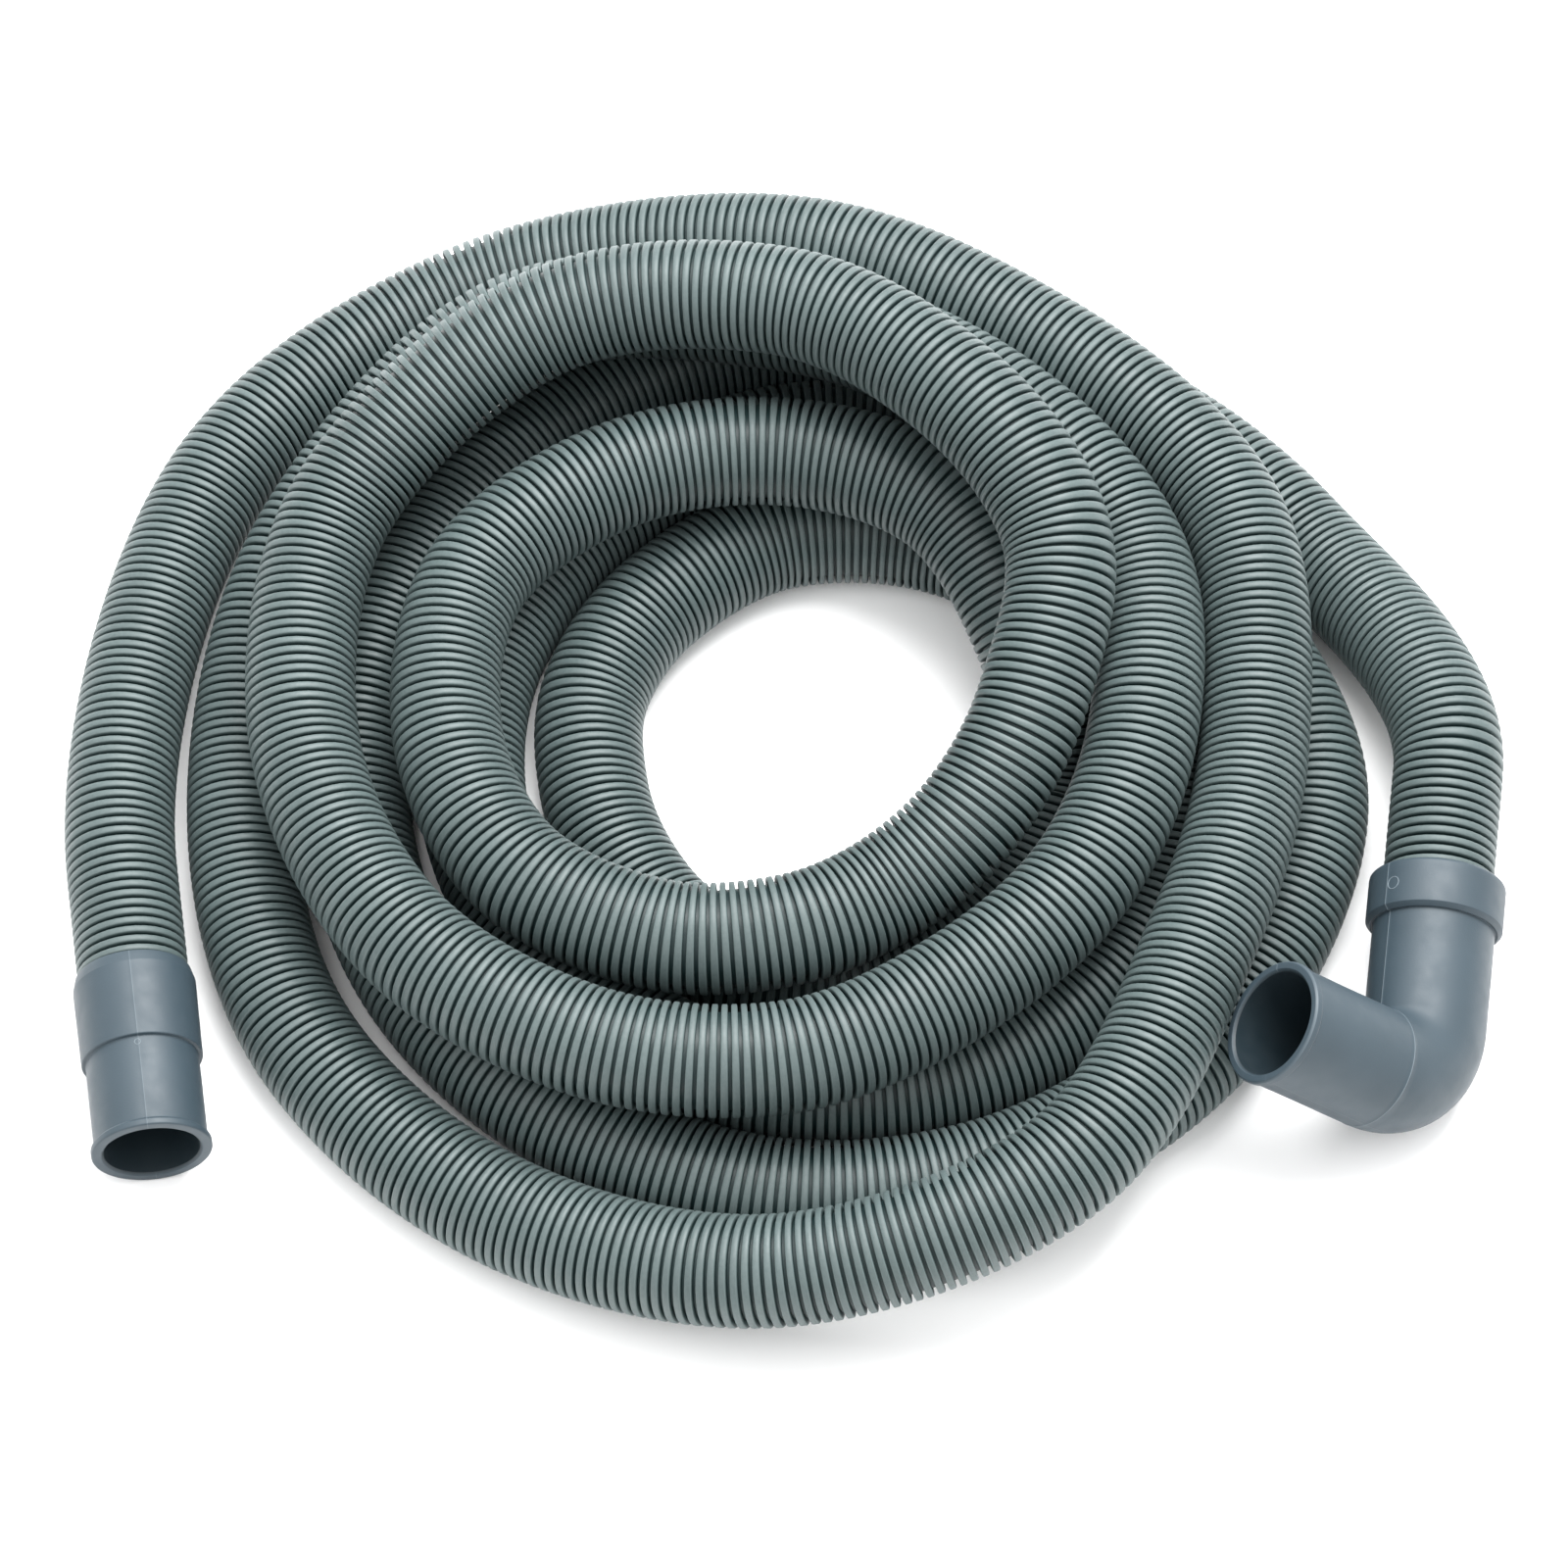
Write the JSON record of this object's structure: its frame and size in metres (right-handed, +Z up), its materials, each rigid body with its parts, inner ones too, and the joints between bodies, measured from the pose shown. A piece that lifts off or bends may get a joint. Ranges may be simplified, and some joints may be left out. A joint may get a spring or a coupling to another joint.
{
  "type": "sewer hose kit",
  "caption": "Grey corrugated drain hose lying in a loose coil, with a straight push-on cuff at one end and a swivelling 90 degree elbow at the other, for a caravan's waste outlet",
  "frame": {"origin": "on the ground under the middle of the whole kit", "axes": "+Z up, +X along the width of the coil from the cuff towards the elbow, +Y away from the two open ends"},
  "size_m": [0.4412, 0.3916, 0.1086],
  "materials": {
    "hose": "moulded corrugated polyethylene, satin",
    "fitting": "moulded soft PVC, satin"
  },
  "bodies": {
    "hose": {"hose_coil": "hose", "hose_end_cuff": "hose", "hose_end_elbow": "hose"},
    "straight_cuff": {"straight_cuff": "fitting"},
    "elbow": {"elbow": "fitting"}
  },
  "joints": [
    {"name": "elbow_swivel", "type": "hinge", "parent": "hose", "child": "elbow", "pos_m": [0.19864, -0.05706, 0.02271], "axis": [0.1212, 0.9871, 0.1045], "range_deg": [0, 98]},
    {"name": "cuff_turn", "type": "hinge", "parent": "hose", "child": "straight_cuff", "pos_m": [-0.19644, -0.08709, 0.0187], "axis": [0.1392, -0.9903, 0], "continuous": true}
  ]
}
